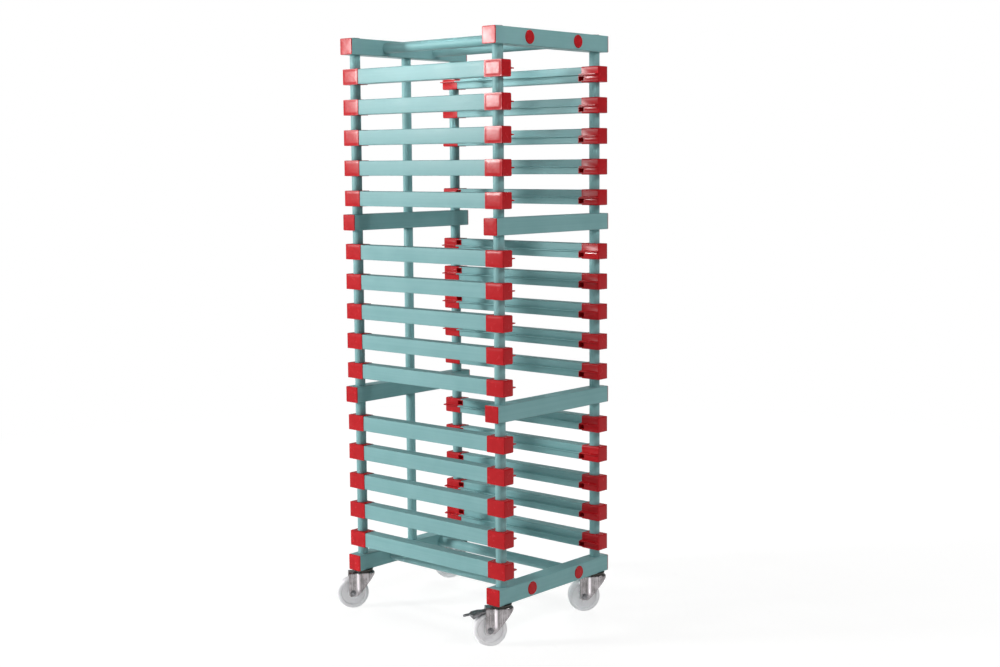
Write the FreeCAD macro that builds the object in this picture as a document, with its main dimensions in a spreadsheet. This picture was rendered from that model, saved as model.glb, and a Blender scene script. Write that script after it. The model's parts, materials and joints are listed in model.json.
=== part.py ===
import FreeCAD, Part
import os
import re

import Sketcher

# Tray rack trolley: two side ladders of tray rails threaded on four corner posts, square beams
# across the front and back, a stop post at the back and four swivel casters.
# Frame: origin on the floor under the middle of the rack, X across the trays, Y from the front
# (-Y, where trays go in) to the back, Z up. Millimetres and degrees.

SIZES = {
    # the trays that slide in
    "tray_width": 400,
    "tray_depth": 600,
    "tray_side_gap": 2,
    "tray_end_gap": 10.5,
    # post stacks
    "core_wall": 3,
    "core_fit": 0.25,
    "sleeve_dia": 32,
    "sleeve_between": 45,
    "sleeve_under_beam": 43,
    "sleeve_over_beam": 25,
    "rails_per_bay": 5,
    # square beams, their end plugs and the spacer tubes inside them
    "beam_size": 50,
    "beam_wall": 3,
    "beam_corner": 3,
    "plug_flange": 3,
    "plug_spigot": 15,
    "plug_fit": 0.2,
    "plug_gap": 7.5,
    "crush_wall": 3.75,
    # tray rails
    "rail_width": 41,
    "rail_height": 46,
    "rail_wall": 3,
    "rail_corner": 2.5,
    "rail_fit": 0.2,
    "ledge_reach": 15,
    "ledge_thick": 5,
    # moulded caps at the rail ends
    "cap_wall": 1.3,
    "cap_length": 67,
    "cap_socket": 15,
    "cap_tongue": 13,
    "ledge_setback": 1,
    "cap_lead_in": 2.5,
    "window_length": 20,
    "window_rim": 2,
    # round cross tubes and their plugs
    "tube_offset": 112,
    "tube_dia": 32,
    "tube_wall": 3,
    "tube_fit": 0.2,
    "button_lip": 3.8,
    "button_bevel": 2,
    "button_thick": 3,
    "button_spigot": 14,
    # stop post at the back
    "stop_dia": 30,
    # screws in the ends of the cores
    "screw_dia": 12,
    "screw_fit": 0.1,
    "screw_length": 40,
    "screw_lip": 5.75,
    "screw_head_thick": 2.5,
    "key_wall": 2,
    "key_depth": 6,
    "thread_spare": 10,
    # casters
    "caster_trail": 35,
    "caster_angle_front_left": 138,
    "caster_angle_front_right": 135,
    "caster_angle_back_left": 141,
    "caster_angle_back_right": 139,
    "race_dia": 62,
    "race_lip": 3,
    "race_thick": 5,
    "bearing_gap": 8,
    "bearing_thick": 4,
    "swivel_gap": 0.4,
    "running_fit": 0.05,
    "king_pin_dia": 14,
    "king_nut_wall": 5,
    "king_nut_thick": 6,
    "fork_nose": 5,
    "fork_skirt": 8,
    "fork_sheet": 3.2,
    "fork_bend": 5,
    "leg_back": 13.5,
    "leg_front": 15,
    "leg_foot": 12,
    "leg_round": 10,
    "wheel_dia": 100,
    "wheel_width": 32,
    "wheel_side_gap": 3,
    "wheel_round": 6,
    "wheel_rim": 11,
    "wheel_recess": 3,
    "hub_wall": 10,
    "hub_side_gap": 0.5,
    "bush_wall": 3,
    "axle_dia": 8,
    "axle_head_lip": 2.5,
    "axle_head_thick": 5.5,
    "axle_nut_thick": 6.5,
    "axle_end": 3,
    # brake pedals
    "tread_gap": 1.9,
    "pedal_top_gap": 0.5,
    "pedal_pin_inset": 15.5,
    "pedal_pin_dia": 5,
    "boss_wall": 3,
    "pedal_side_gap": 4,
    "pedal_thick": 5,
    "pedal_drop": 10,
    "foot_overhang": 27,
    "foot_width": 44,
    "foot_length": 28,
    "foot_thick": 3.5,
    "shoe_gap": 6.5,
    "shoe_width": 26,
    "shoe_thick": 5,
    "shoe_drop": 24,
}

# beam levels and bays from the floor up, and the corners with their signs in X and Y
LEVELS = ("bottom", "lower", "upper", "top")
BAYS = ("lower", "middle", "upper")
CORNERS = {
    "front_left": (-1, -1),
    "front_right": (1, -1),
    "back_left": (-1, 1),
    "back_right": (1, 1),
}
BRAKED = ("front_left", "back_right")

doc = FreeCAD.newDocument("TrayRackTrolley")
sheet = doc.addObject("Spreadsheet::Sheet", "Sizes")
for row, (alias, number) in enumerate(SIZES.items(), start=1):
    sheet.set(f"A{row}", alias)
    sheet.set(f"B{row}", str(number))
    sheet.setAlias(f"B{row}", alias)
doc.recompute()

X_AXIS = FreeCAD.Vector(1, 0, 0)
Y_AXIS = FreeCAD.Vector(0, 1, 0)
Z_AXIS = FreeCAD.Vector(0, 0, 1)
UPRIGHT = FreeCAD.Rotation()

sub_parts = []


def cells(text):
    # an expression with each size name turned into its cell
    def cell(word):
        return "Sizes." + word[0] if word[0] in SIZES else word[0]
    return re.sub(r"[a-z]\w*", cell, str(text))


def value(text):
    return float(sheet.evalExpression(cells(text)))


def bind(thing, **expressions):
    for name, text in expressions.items():
        thing.setExpression(name, cells(text))
    return thing


def place(thing, x=0, y=0, z=0, turn=UPRIGHT, swivel=None):
    # turn is a fixed rotation, swivel a bound angle about Z
    thing.Placement.Rotation = FreeCAD.Rotation(Z_AXIS, 90) if swivel else turn
    for axis, text in (("x", x), ("y", y), ("z", z)):
        thing.setExpression(f"Placement.Base.{axis}", cells(text))
    if swivel:
        thing.setExpression("Placement.Rotation.Angle", cells(swivel))
    return thing


def named(thing, label):
    thing.Label = label
    sub_parts.append(thing)
    return thing


# solids from primitives

def rod(name, dia, length, x=0, y=0, z=0, turn=UPRIGHT):
    cylinder = doc.addObject("Part::Cylinder", name)
    bind(cylinder, Radius=f"({dia}) / 2", Height=length)
    return place(cylinder, x, y, z, turn)


def hexagon(name, width, length, x=0, y=0, z=0, turn=UPRIGHT):
    # width is measured across the flats
    prism = doc.addObject("Part::Prism", name)
    prism.Polygon = 6
    bind(prism, Circumradius=f"({width}) / sqrt(3)", Height=length)
    return place(prism, x, y, z, turn)


def cut(name, base, *tools):
    for number, tool in enumerate(tools):
        result = doc.addObject("Part::Cut", f"{name}Cut{number}")
        result.Base = base
        result.Tool = tool
        base = result
    return base


def fuse(name, *pieces):
    union = doc.addObject("Part::MultiFuse", name)
    union.Shapes = list(pieces)
    union.Refine = True
    return union


def pipe(name, dia, bore, length, x=0, y=0, z=0, turn=UPRIGHT):
    return cut(name, rod(name + "Outside", dia, length, x, y, z, turn),
               rod(name + "Bore", bore, length, x, y, z, turn))


def group(name, pieces):
    bundle = doc.addObject("Part::Compound", name)
    bundle.Links = list(pieces)
    return bundle


def copies(label, spots):
    # one node of separate solids, each spot a piece with its place and turn
    links = []
    for piece, place_of_piece in spots:
        link = doc.addObject("App::Link", "Copy")
        link.LinkedObject = piece
        links.append(place(link, **place_of_piece))
    return named(group(label.title().replace("_", ""), links), label)


# solids from sketches

def sketch(body, plane, outlines=(), circles=(), offset=(0, 0, 0)):
    # closed outlines of straight sides and full circles, every coordinate bound to the sheet
    drawing = body.newObject("Sketcher::SketchObject", "Sketch")
    role = {feature.Role: feature for feature in body.Origin.OriginFeatures}
    drawing.AttachmentSupport = [(role[plane], "")]
    drawing.MapMode = "FlatFace"
    for axis, text in zip("xyz", offset):
        drawing.setExpression(f"AttachmentOffset.Base.{axis}", cells(text))

    def fix(kind, geometry, point, text):
        number = drawing.addConstraint(Sketcher.Constraint(kind, -1, 1, geometry, point, value(text)))
        drawing.setExpression(f"Constraints[{number}]", cells(text))

    for outline in outlines:
        corners = [FreeCAD.Vector(value(across), value(up), 0) for across, up in outline]
        first = drawing.GeometryCount
        for number, corner in enumerate(corners):
            following = corners[(number + 1) % len(corners)]
            drawing.addGeometry(Part.LineSegment(corner, following), False)
        for number, (across, up) in enumerate(outline):
            follower = first + (number + 1) % len(outline)
            drawing.addConstraint(Sketcher.Constraint("Coincident", first + number, 2, follower, 1))
            fix("DistanceX", first + number, 1, across)
            fix("DistanceY", first + number, 1, up)
    for across, up, dia in circles:
        centre = FreeCAD.Vector(value(across), value(up), 0)
        circle = drawing.addGeometry(Part.Circle(centre, FreeCAD.Vector(0, 0, 1), value(dia) / 2), False)
        fix("DistanceX", circle, 3, across)
        fix("DistanceY", circle, 3, up)
        number = drawing.addConstraint(Sketcher.Constraint("Diameter", circle, value(dia)))
        drawing.setExpression(f"Constraints[{number}]", cells(dia))
    return drawing


def rectangle(left, right, low, high):
    return ((left, low), (right, low), (right, high), (left, high))


def square(width, height):
    return rectangle(f"-({width}) / 2", f"({width}) / 2", f"-({height}) / 2", f"({height}) / 2")


def pad(body, drawing, length, sides="Symmetric"):
    feature = body.newObject("PartDesign::Pad", "Pad")
    feature.Profile = drawing
    feature.SideType = sides
    bind(feature, Length=length)
    doc.recompute()
    return feature


def pocket(body, drawing, sides="Symmetric", backwards=False):
    # cuts right through, both ways from the sketch or only one way
    before = body.Shape.Volume
    feature = body.newObject("PartDesign::Pocket", "Pocket")
    feature.Profile = drawing
    feature.SideType = sides
    feature.Type = "ThroughAll"
    feature.Reversed = backwards
    doc.recompute()
    if not body.Shape.Volume < before - 1e-3:
        raise RuntimeError(f"{body.Label}: a pocket cuts nothing")
    return feature


def rounded(body, feature, radius, wanted):
    edges = [f"Edge{number}" for number, edge in enumerate(feature.Shape.Edges, start=1)
             if not edge.Degenerated and wanted(edge)]
    fillet = body.newObject("PartDesign::Fillet", "Fillet")
    fillet.Base = (feature, edges)
    bind(fillet, Radius=radius)
    doc.recompute()
    return fillet


def runs_along(axis):
    def test(edge):
        line = edge.Curve
        return isinstance(line, Part.Line) and abs(abs(line.Direction.dot(axis)) - 1) < 1e-6
    return test


# sizes that follow from the ones in the sheet
core_dia = "(screw_dia + 2 * core_wall)"
core_hole = f"({core_dia} + 2 * core_fit)"
crush_dia = f"({core_hole} + 2 * crush_wall)"
socket_width = "(rail_width + 2 * rail_fit)"
socket_height = "(rail_height + 2 * rail_fit)"
cap_width = f"({socket_width} + 2 * cap_wall)"
cap_height = f"({socket_height} + 2 * cap_wall)"
cap_edge = "(rail_corner + rail_fit + cap_wall)"
post_span_x = f"(tray_width + 2 * tray_side_gap + {cap_width})"
post_span_y = "(tray_depth + tray_end_gap - cap_length / 2 + stop_dia / 2)"
beam_length = f"({post_span_x} + {crush_dia} + 2 * plug_gap + 2 * plug_spigot)"

# the caster's stack from the floor up, which sets how high the rack stands
axle_height = "(wheel_dia / 2)"
boss_dia = "(pedal_pin_dia + 2 * boss_wall)"
pedal_pin_height = f"(wheel_dia + tread_gap + {boss_dia} / 2)"
plate_bottom = f"({pedal_pin_height} + {boss_dia} / 2 + pedal_top_gap)"
plate_top = f"({plate_bottom} + fork_sheet)"
bearing_low = f"({plate_top} + swivel_gap)"
race_low = f"({bearing_low} + bearing_thick)"
rack_low = f"({race_low} + race_thick)"
fork_gap = "(wheel_width + 2 * wheel_side_gap)"
fork_width = f"({fork_gap} + 2 * fork_sheet)"

# places worked out from the stack on the posts
rail_pitch = f"({cap_height} + sleeve_between)"
rails_rise = f"({cap_height} + (rails_per_bay - 1) * {rail_pitch})"
bay_rise = f"(beam_size + sleeve_over_beam + {rails_rise} + sleeve_under_beam)"
rack_rise = f"({len(BAYS)} * {bay_rise} + beam_size)"
rack_high = f"({rack_low} + {rack_rise})"
rails_per_bay = int(SIZES["rails_per_bay"])


def beam_level(level):
    return f"({rack_low} + beam_size / 2 + {level} * {bay_rise})"


def rail_level(bay, step):
    first = f"{rack_low} + beam_size + sleeve_over_beam + {cap_height} / 2"
    return f"({first} + {bay} * {bay_rise} + {step} * {rail_pitch})"


def corner_place(corner, z=0, turn=UPRIGHT):
    side, end = CORNERS[corner]
    return {"x": f"{side} * {post_span_x} / 2", "y": f"{end} * {post_span_y} / 2", "z": z, "turn": turn}


def stop_place(z, turn=UPRIGHT):
    return {"y": f"{post_span_y} / 2", "z": z, "turn": turn}


# square hollow beams, bored for the cores and, at the top and bottom, for the cross tubes

def beam(row, level):
    end = {"front": -1, "back": 1}[row]
    body = doc.addObject("PartDesign::Body", "Beam")
    block = pad(body, sketch(body, "YZ_Plane", [square("beam_size", "beam_size")]), beam_length)
    rounded(body, block, "beam_corner", runs_along(X_AXIS))
    inside = "beam_size - 2 * beam_wall"
    pocket(body, sketch(body, "YZ_Plane", [square(inside, inside)]))
    holes = [(f"{side} * {post_span_x} / 2", "0", core_hole) for side in (-1, 1)]
    if row == "back":
        holes.append(("0", "0", core_hole))
    pocket(body, sketch(body, "XY_Plane", circles=holes))
    if LEVELS[level] in ("bottom", "top"):
        tube_holes = [(f"{side} * tube_offset", "0", "tube_dia + 2 * tube_fit") for side in (-1, 1)]
        pocket(body, sketch(body, "XZ_Plane", circles=tube_holes))
    place(body, 0, f"{end} * {post_span_y} / 2", beam_level(level))
    named(body, f"{row}_beam_{LEVELS[level]}")


def beam_plugs():
    # flange outside the tube at x above 0, spigot inside it below 0
    body = doc.addObject("PartDesign::Body", "BeamPlug")
    outer = sketch(body, "YZ_Plane", [square("beam_size", "beam_size")])
    flange = pad(body, outer, "plug_flange", "One side")
    rounded(body, flange, "beam_corner", runs_along(X_AXIS))
    spigot = "beam_size - 2 * beam_wall - 2 * plug_fit"
    inner = sketch(body, "YZ_Plane", [square(spigot, spigot)], offset=(0, 0, "-plug_spigot"))
    pad(body, inner, "plug_spigot", "One side")
    half_turn = FreeCAD.Rotation(Z_AXIS, 180)
    for label, side, turn in (("left", -1, half_turn), ("right", 1, UPRIGHT)):
        spots = []
        for end in (-1, 1):
            for level in range(len(LEVELS)):
                spots.append((body, {"x": f"{side} * {beam_length} / 2", "y": f"{end} * {post_span_y} / 2",
                                     "z": beam_level(level), "turn": turn}))
        copies(f"beam_end_plugs_{label}", spots)


def crush_tubes():
    # stand inside the beams round the cores, so that the thin walls can be clamped
    height = "beam_size - 2 * beam_wall"
    tube = pipe("CrushTube", crush_dia, core_hole, height)
    spots = []
    for level in range(len(LEVELS)):
        floor = f"{beam_level(level)} - ({height}) / 2"
        for corner in CORNERS:
            spots.append((tube, corner_place(corner, floor)))
        spots.append((tube, stop_place(floor)))
    copies("beam_crush_tubes", spots)


# corner posts: one core each, with sleeves that space the caps and beams

def post_core(label, spot):
    core = rod("Core", core_dia, rack_rise)
    depth = "screw_length + thread_spare"
    low_thread = rod("LowThread", "screw_dia", depth)
    high_thread = rod("HighThread", "screw_dia", depth, z=f"{rack_rise} - ({depth})")
    bored = cut("CoreBored", core, low_thread, high_thread)
    copies(label, [(bored, spot)])


def post_sleeves():
    tubes = {}
    for length in ("sleeve_over_beam", "sleeve_between", "sleeve_under_beam"):
        name = length.title().replace("_", "")
        tubes[length] = pipe(name, "sleeve_dia", core_hole, length)
    for corner in CORNERS:
        spots = []
        for bay in range(len(BAYS)):
            bottom = f"{beam_level(bay)} + beam_size / 2"
            spots.append((tubes["sleeve_over_beam"], corner_place(corner, bottom)))
            for step in range(rails_per_bay):
                above_cap = f"{rail_level(bay, step)} + {cap_height} / 2"
                last = step == rails_per_bay - 1
                tube = tubes["sleeve_under_beam" if last else "sleeve_between"]
                spots.append((tube, corner_place(corner, above_cap)))
        copies(f"post_sleeves_{corner}", spots)


def stop_post():
    tube = pipe("StopTube", "stop_dia", core_hole, f"{bay_rise} - beam_size")
    spots = []
    for bay in range(len(BAYS)):
        bottom = f"{beam_level(bay)} + beam_size / 2"
        spots.append((tube, stop_place(bottom)))
    copies("stop_post_tubes", spots)


def post_screws():
    # thin round head above z 0, with a hexagon key hole, and the shank below
    head = rod("ScrewHead", f"{core_hole} + 2 * screw_lip", "screw_head_thick")
    shank = rod("ScrewShank", "screw_dia - 2 * screw_fit", "screw_length", z="-screw_length")
    key = hexagon("ScrewKey", "screw_dia - 2 * key_wall", "key_depth", z="screw_head_thick - key_depth")
    screw = cut("Screw", fuse("ScrewBlank", head, shank), key)
    spots = [(screw, corner_place(corner, rack_high)) for corner in CORNERS]
    spots.append((screw, stop_place(rack_high)))
    spots.append((screw, stop_place(rack_low, turn=FreeCAD.Rotation(X_AXIS, 180))))
    copies("post_screws", spots)


# tray rails and the moulded caps on their ends
# a cap and a rail share one window, in the cap's tongue and side and in the rail's inner wall

window_middle = "(cap_length / 2 + cap_tongue - window_rim - window_length / 2)"
window_low = "(ledge_thick / 2 + window_rim)"
window_high = f"({cap_height} / 2 - {cap_edge} - window_rim)"


def window(middle, side):
    # the opening in side view, above (1) or below (-1) the ledge
    ends = (f"{middle} - window_length / 2", f"{middle} + window_length / 2")
    if side > 0:
        return rectangle(*ends, window_low, window_high)
    return rectangle(*ends, f"-{window_high}", f"-{window_low}")


def rail_piece():
    # runs along Y with its ledge on +X; its box enters the caps and its ledge stops at them
    body = doc.addObject("PartDesign::Body", "Rail")
    length = f"{post_span_y} - cap_length + 2 * cap_socket - 2 * rail_fit"
    block = pad(body, sketch(body, "XZ_Plane", [square("rail_width", "rail_height")]), length)
    rounded(body, block, "rail_corner", runs_along(Y_AXIS))
    inside = square("rail_width - 2 * rail_wall", "rail_height - 2 * rail_wall")
    pocket(body, sketch(body, "XZ_Plane", [inside]))
    ledge = rectangle("rail_width / 2 - rail_wall / 2", "rail_width / 2 + ledge_reach",
                      "-ledge_thick / 2", "ledge_thick / 2")
    pad(body, sketch(body, "XZ_Plane", [ledge]), f"{post_span_y} - cap_length - 2 * rail_fit")
    windows = [window(f"(-{post_span_y} / 2 + {window_middle})", 1),
               window(f"({post_span_y} / 2 - {window_middle})", -1)]
    pocket(body, sketch(body, "YZ_Plane", windows), "One side", backwards=True)
    return body


def tray_rails():
    rail = rail_piece()
    half_turn = FreeCAD.Rotation(Z_AXIS, 180)
    for label, side, turn in (("left", -1, UPRIGHT), ("right", 1, half_turn)):
        for bay, bay_name in enumerate(BAYS):
            spots = []
            for step in range(rails_per_bay):
                height = rail_level(bay, step)
                spots.append((rail, {"x": f"{side} * {post_span_x} / 2", "z": height, "turn": turn}))
            copies(f"tray_rails_{label}_{bay_name}", spots)


def cap_piece():
    # post along Z through the origin, rail socket towards +Y, tray ledge on +X
    body = doc.addObject("PartDesign::Body", "RailCap")
    block = pad(body, sketch(body, "XY_Plane", [square(cap_width, "cap_length")]), cap_height)
    mouth = value("cap_length / 2")

    def not_at_mouth(edge):
        return any(vertex.Y < 0 for vertex in edge.Vertexes) and edge.CenterOfMass.y < mouth

    rounded(body, block, cap_edge, not_at_mouth)
    root = f"{cap_width} / 2 - {cap_edge}"
    tip = "rail_width / 2 + ledge_reach"
    nose = "-cap_length / 2 + ledge_setback"
    ledge = ((root, nose), (f"{tip} - cap_lead_in", nose), (tip, f"{nose} + cap_lead_in"),
             (tip, "cap_length / 2"), (root, "cap_length / 2"))
    pad(body, sketch(body, "XY_Plane", [ledge]), "ledge_thick")
    socket_start = "cap_length / 2 - cap_socket"
    tongue = rectangle(f"{socket_width} / 2", f"{cap_width} / 2", socket_start, "cap_length / 2 + cap_tongue")
    above_ledge = "(ledge_thick / 2 + rail_fit)"
    drawing = sketch(body, "XY_Plane", [tongue], offset=(0, 0, above_ledge))
    pad(body, drawing, f"{cap_height} / 2 - {cap_edge} - {above_ledge}", "One side")
    mouth_plane = (0, 0, f"-({socket_start})")
    hollow = sketch(body, "XZ_Plane", [square(socket_width, socket_height)], offset=mouth_plane)
    socket = pocket(body, hollow, "One side")
    corner_x = value(f"{socket_width} / 2")
    corner_z = value(f"{socket_height} / 2")

    def socket_corner(edge):
        off_x = abs(abs(edge.CenterOfMass.x) - corner_x)
        off_z = abs(abs(edge.CenterOfMass.z) - corner_z)
        return runs_along(Y_AXIS)(edge) and max(off_x, off_z) < 1e-6

    rounded(body, socket, "rail_corner + rail_fit", socket_corner)
    pocket(body, sketch(body, "XY_Plane", circles=[("0", "0", core_hole)]))
    pocket(body, sketch(body, "YZ_Plane", [window(window_middle, 1)]), "One side", backwards=True)
    return body


def rail_caps():
    # one moulding, turned over or round to suit each corner
    cap = cap_piece()
    turns = {
        "front_left": UPRIGHT,
        "front_right": FreeCAD.Rotation(Y_AXIS, 180),
        "back_left": FreeCAD.Rotation(X_AXIS, 180),
        "back_right": FreeCAD.Rotation(Z_AXIS, 180),
    }
    for corner in CORNERS:
        spots = []
        for bay in range(len(BAYS)):
            for step in range(rails_per_bay):
                spots.append((cap, corner_place(corner, rail_level(bay, step), turns[corner])))
        copies(f"rail_end_caps_{corner}", spots)


# cross tubes through the top and bottom beams, closed by round plugs

def cross_tubes():
    facing_back = FreeCAD.Rotation(X_AXIS, -90)
    facing_front = FreeCAD.Rotation(X_AXIS, 90)
    length = f"({post_span_y} + beam_size)"
    tube_bore = "tube_dia - 2 * tube_wall"
    tube = pipe("CrossTube", "tube_dia", tube_bore, length, y=f"-{length} / 2", turn=facing_back)
    face = doc.addObject("Part::Cone", "ButtonFace")
    rim_radius = "tube_dia / 2 + tube_fit + button_lip"
    bind(face, Radius1=rim_radius, Radius2=f"{rim_radius} - button_bevel", Height="button_thick")
    spigot = rod("ButtonSpigot", f"{tube_bore} - 2 * tube_fit", "button_spigot", z="-button_spigot")
    button = fuse("Button", face, spigot)
    spots = []
    for level in (0, len(LEVELS) - 1):
        for side_name, side in (("left", -1), ("right", 1)):
            across = f"{side} * tube_offset"
            label = f"cross_tube_{LEVELS[level]}_{side_name}"
            copies(label, [(tube, {"x": across, "z": beam_level(level)})])
            for end, turn in ((-1, facing_front), (1, facing_back)):
                face_y = f"{end} * {length} / 2"
                spots.append((button, {"x": across, "y": face_y, "z": beam_level(level), "turn": turn}))
    copies("cross_tube_plugs", spots)


# casters, drawn about their swivel axis with the wheel trailing towards +X

fork_lead = "(race_dia / 2 + fork_nose)"
fork_tail = "(caster_trail + leg_back)"
bush_dia = "(axle_dia + 2 * bush_wall)"
pedal_pin_x = f"({fork_tail} - pedal_pin_inset)"
pedal_pin = (pedal_pin_x, pedal_pin_height)
ALONG_Y = FreeCAD.Rotation(X_AXIS, -90)


def caster_place(corner):
    return {**corner_place(corner), "swivel": f"caster_angle_{corner}"}


def caster_heads():
    pin_foot = f"({plate_bottom} - swivel_gap - king_nut_thick)"
    race = rod("Race", "race_dia", "race_thick", z=race_low)
    shank = rod("StemShank", "screw_dia - 2 * screw_fit", "screw_length", z=rack_low)
    king_pin = rod("KingPin", "king_pin_dia", f"{race_low} - {pin_foot}", z=pin_foot)
    stem = fuse("CasterStem", race, shank, king_pin)
    bearing = pipe("Bearing", "race_dia - 2 * race_lip", "king_pin_dia + 2 * bearing_gap", "bearing_thick",
                   z=bearing_low)
    nut = cut("KingNut",
              hexagon("KingNutBlank", "king_pin_dia + 2 * king_nut_wall", "king_nut_thick", z=pin_foot),
              rod("KingNutHole", "king_pin_dia + 2 * running_fit", "king_nut_thick", z=pin_foot))
    copies("caster_stems", [(stem, caster_place(corner)) for corner in CORNERS])
    copies("caster_swivel_bearings", [(bearing, caster_place(corner)) for corner in CORNERS])
    copies("caster_king_nuts", [(nut, caster_place(corner)) for corner in CORNERS])


def fork_piece(braked):
    # a bent sheet: top plate and two legs that narrow towards the axle
    body = doc.addObject("PartDesign::Body", "Fork")
    foot = f"({axle_height} - leg_foot)"
    side = ((f"-{fork_lead}", plate_top), (fork_tail, plate_top), (fork_tail, foot),
            ("caster_trail - leg_front", foot), (f"-{fork_lead}", f"{plate_top} - fork_skirt"))
    block = pad(body, sketch(body, "XZ_Plane", [side]), fork_width)
    top = value(plate_top)
    low = value(foot)

    def bend_line(edge):
        return runs_along(X_AXIS)(edge) and abs(edge.CenterOfMass.z - top) < 1e-6

    def foot_corner(edge):
        return runs_along(Y_AXIS)(edge) and abs(edge.CenterOfMass.z - low) < 1e-6

    bent = rounded(body, block, "fork_bend", bend_line)
    rounded(body, bent, "leg_round", foot_corner)
    between = rectangle(f"-{fork_gap} / 2", f"{fork_gap} / 2", "0", plate_bottom)
    pocket(body, sketch(body, "YZ_Plane", [between]))
    pocket(body, sketch(body, "XY_Plane", circles=[("0", "0", "king_pin_dia + 2 * running_fit")]))
    holes = [("caster_trail", axle_height, "axle_dia + 2 * running_fit")]
    if braked:
        holes.append((*pedal_pin, "pedal_pin_dia + 2 * running_fit"))
    pocket(body, sketch(body, "XZ_Plane", circles=holes))
    return body


def wheel_piece():
    # half section turned about the axle: rim, recessed web and a hub bored for the bush
    body = doc.addObject("PartDesign::Body", "Wheel")
    half = "wheel_width / 2"
    web = "wheel_width / 2 - wheel_recess"
    rim_inside = "wheel_dia / 2 - wheel_rim"
    hub = f"{bush_dia} / 2 + hub_wall"
    profile = [(f"{bush_dia} / 2", half), (hub, half), (f"{hub} + wheel_recess", web),
               (f"{rim_inside} - wheel_recess", web), (rim_inside, half), ("wheel_dia / 2", half)]
    mirrored = [(across, f"-({up})") for across, up in reversed(profile)]
    section = sketch(body, "XY_Plane", [profile + mirrored], offset=("caster_trail", 0, axle_height))
    turned = body.newObject("PartDesign::Revolution", "Revolution")
    turned.Profile = section
    turned.ReferenceAxis = (section, ["V_Axis"])
    turned.Angle = 360
    doc.recompute()
    outer = value("wheel_dia / 2")

    def tread_corner(edge):
        return isinstance(edge.Curve, Part.Circle) and abs(edge.Curve.Radius - outer) < 1e-6

    rounded(body, turned, "wheel_round", tread_corner)
    return body


def across_fork(name, solid, size, length, start):
    return solid(name, size, length, "caster_trail", start, axle_height, ALONG_Y)


def axle_set():
    # bolt with its head on one leg, nut on the other
    outside = f"{fork_width} / 2"
    width = "axle_dia + 2 * axle_head_lip"
    head = across_fork("AxleHead", hexagon, width, "axle_head_thick", f"-{outside} - axle_head_thick")
    length = f"{fork_width} + axle_nut_thick + axle_end"
    shank = across_fork("AxleShank", rod, "axle_dia", length, f"-{outside}")
    blank = across_fork("AxleNutBlank", hexagon, width, "axle_nut_thick", outside)
    hole = across_fork("AxleNutHole", rod, "axle_dia + 2 * running_fit", "axle_nut_thick", outside)
    return group("AxleSet", [fuse("AxleBolt", head, shank), cut("AxleNut", blank, hole)])


def bush_piece():
    length = f"({fork_gap} - 2 * hub_side_gap)"
    bore = across_fork("BushBore", rod, "axle_dia + 2 * running_fit", length, f"-{length} / 2")
    outside = across_fork("BushOutside", rod, f"{bush_dia} - 2 * running_fit", length, f"-{length} / 2")
    return cut("Bush", outside, bore)


def pedal_piece():
    # arm from the pin over the wheel, a shoe that hangs behind the tread and a wide foot plate
    body = doc.addObject("PartDesign::Body", "Pedal")
    pedal_reach = "(caster_trail + wheel_dia / 2 + foot_overhang)"
    foot_start = f"({pedal_reach} - foot_length)"
    arm_top = f"({pedal_pin_height} + pedal_thick / 2)"
    arm_drop = f"(pedal_drop * ({foot_start} - {pedal_pin_x}) / ({pedal_reach} - {pedal_pin_x}))"
    arm_end = f"({arm_top} - {arm_drop})"
    elbow = f"({arm_end} - pedal_thick)"
    shoe_foot = f"({pedal_pin_height} - shoe_drop)"

    def behind_tread(height):
        # how far back the shoe's face lies at a height, so that it clears the tread by its gap
        return f"(caster_trail + sqrt((wheel_dia / 2 + shoe_gap) ^ 2 - ({height} - {axle_height}) ^ 2))"

    arm = ((pedal_pin_x, arm_top), (foot_start, arm_end), (foot_start, elbow),
           (pedal_pin_x, f"{arm_top} - pedal_thick"))
    inside_fork = f"{fork_gap} - 2 * pedal_side_gap"
    pad(body, sketch(body, "XZ_Plane", [arm]), inside_fork)
    pad(body, sketch(body, "XZ_Plane", circles=[(*pedal_pin, boss_dia)]), inside_fork)
    shoe = ((behind_tread(elbow), f"{elbow} + pedal_thick / 2"), (behind_tread(shoe_foot), shoe_foot),
            (f"{behind_tread(shoe_foot)} + shoe_thick", shoe_foot), (foot_start, elbow),
            (foot_start, f"{elbow} + pedal_thick / 2"))
    pad(body, sketch(body, "XZ_Plane", [shoe]), "shoe_width")
    foot_root = f"{foot_start} - foot_thick"
    foot_tip = f"({arm_top} - pedal_drop)"
    foot = ((foot_root, arm_end), (pedal_reach, foot_tip), (pedal_reach, f"{foot_tip} - foot_thick"),
            (foot_root, f"{arm_end} - foot_thick"))
    pad(body, sketch(body, "XZ_Plane", [foot]), "foot_width")
    pocket(body, sketch(body, "XZ_Plane", circles=[(*pedal_pin, "pedal_pin_dia + 2 * running_fit")]))
    pin = rod("PedalPin", "pedal_pin_dia", fork_width, pedal_pin_x, f"-{fork_width} / 2",
              pedal_pin_height, ALONG_Y)
    return group("PedalSet", [body, pin])


def casters():
    caster_heads()
    forks = {True: fork_piece(True), False: fork_piece(False)}
    wheel = wheel_piece()
    axle = axle_set()
    bush = bush_piece()
    pedal = pedal_piece()
    for corner in CORNERS:
        spot = caster_place(corner)
        copies(f"caster_fork_{corner}", [(forks[corner in BRAKED], spot)])
        copies(f"caster_axle_{corner}", [(axle, spot)])
        copies(f"caster_wheel_{corner}", [(wheel, spot)])
        copies(f"caster_wheel_bush_{corner}", [(bush, spot)])
        if corner in BRAKED:
            copies(f"brake_pedal_{corner}", [(pedal, spot)])


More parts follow.
